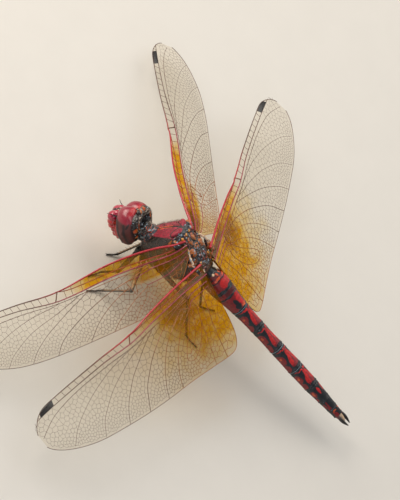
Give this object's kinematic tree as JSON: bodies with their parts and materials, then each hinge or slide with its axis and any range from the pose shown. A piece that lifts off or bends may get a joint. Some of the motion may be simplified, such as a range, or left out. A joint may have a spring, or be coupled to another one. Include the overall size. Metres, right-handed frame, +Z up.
{
  "type": "dragonfly",
  "caption": "Still life-size dragonfly, a male red rock skimmer, resting on its feet with its wings spread and drooped forward.",
  "frame": {"origin": "centre of the bounding box in plan, on the floor under the feet", "axes": "+X to the animal's left, +Y towards its tail, +Z up"},
  "size_m": [0.0874, 0.0636, 0.0156],
  "materials": {
    "red_cuticle": "scarlet, satin to glossy, with black marks",
    "crimson_cuticle": "dull crimson and brown, softly hairy",
    "black_cuticle": "black, satin",
    "slate_cuticle": "slate grey and orange, softly hairy",
    "face_cuticle": "bright red, glossy",
    "eye_lens": "wine red above, brown below, glossy",
    "wing_membrane": "clear, amber at the base",
    "leg_cuticle": "black with pale stripes, spiny"
  },
  "bodies": {
    "root": {"abdomen_1": "black_cuticle", "abdomen_10": "black_cuticle", "abdomen_2": "red_cuticle", "abdomen_3": "red_cuticle", "abdomen_4": "red_cuticle", "abdomen_5": "red_cuticle", "abdomen_6": "red_cuticle", "abdomen_7": "red_cuticle", "abdomen_8": "black_cuticle", "abdomen_9": "black_cuticle", "antenna_left": "black_cuticle", "antenna_right": "black_cuticle", "cercus_left": "black_cuticle", "cercus_right": "black_cuticle", "epiproct": "black_cuticle", "eye_left": "eye_lens", "eye_right": "eye_lens", "face": "face_cuticle", "head": "black_cuticle", "labium": "black_cuticle", "leg_fore_left": "leg_cuticle", "leg_fore_right": "leg_cuticle", "leg_hind_left": "leg_cuticle", "leg_hind_right": "leg_cuticle", "leg_mid_left": "leg_cuticle", "leg_mid_right": "leg_cuticle", "neck": "black_cuticle", "prothorax": "slate_cuticle", "thorax": "crimson_cuticle", "wing_fore_left": "wing_membrane", "wing_fore_right": "wing_membrane", "wing_hind_left": "wing_membrane", "wing_hind_right": "wing_membrane"}
  },
  "joints": []
}
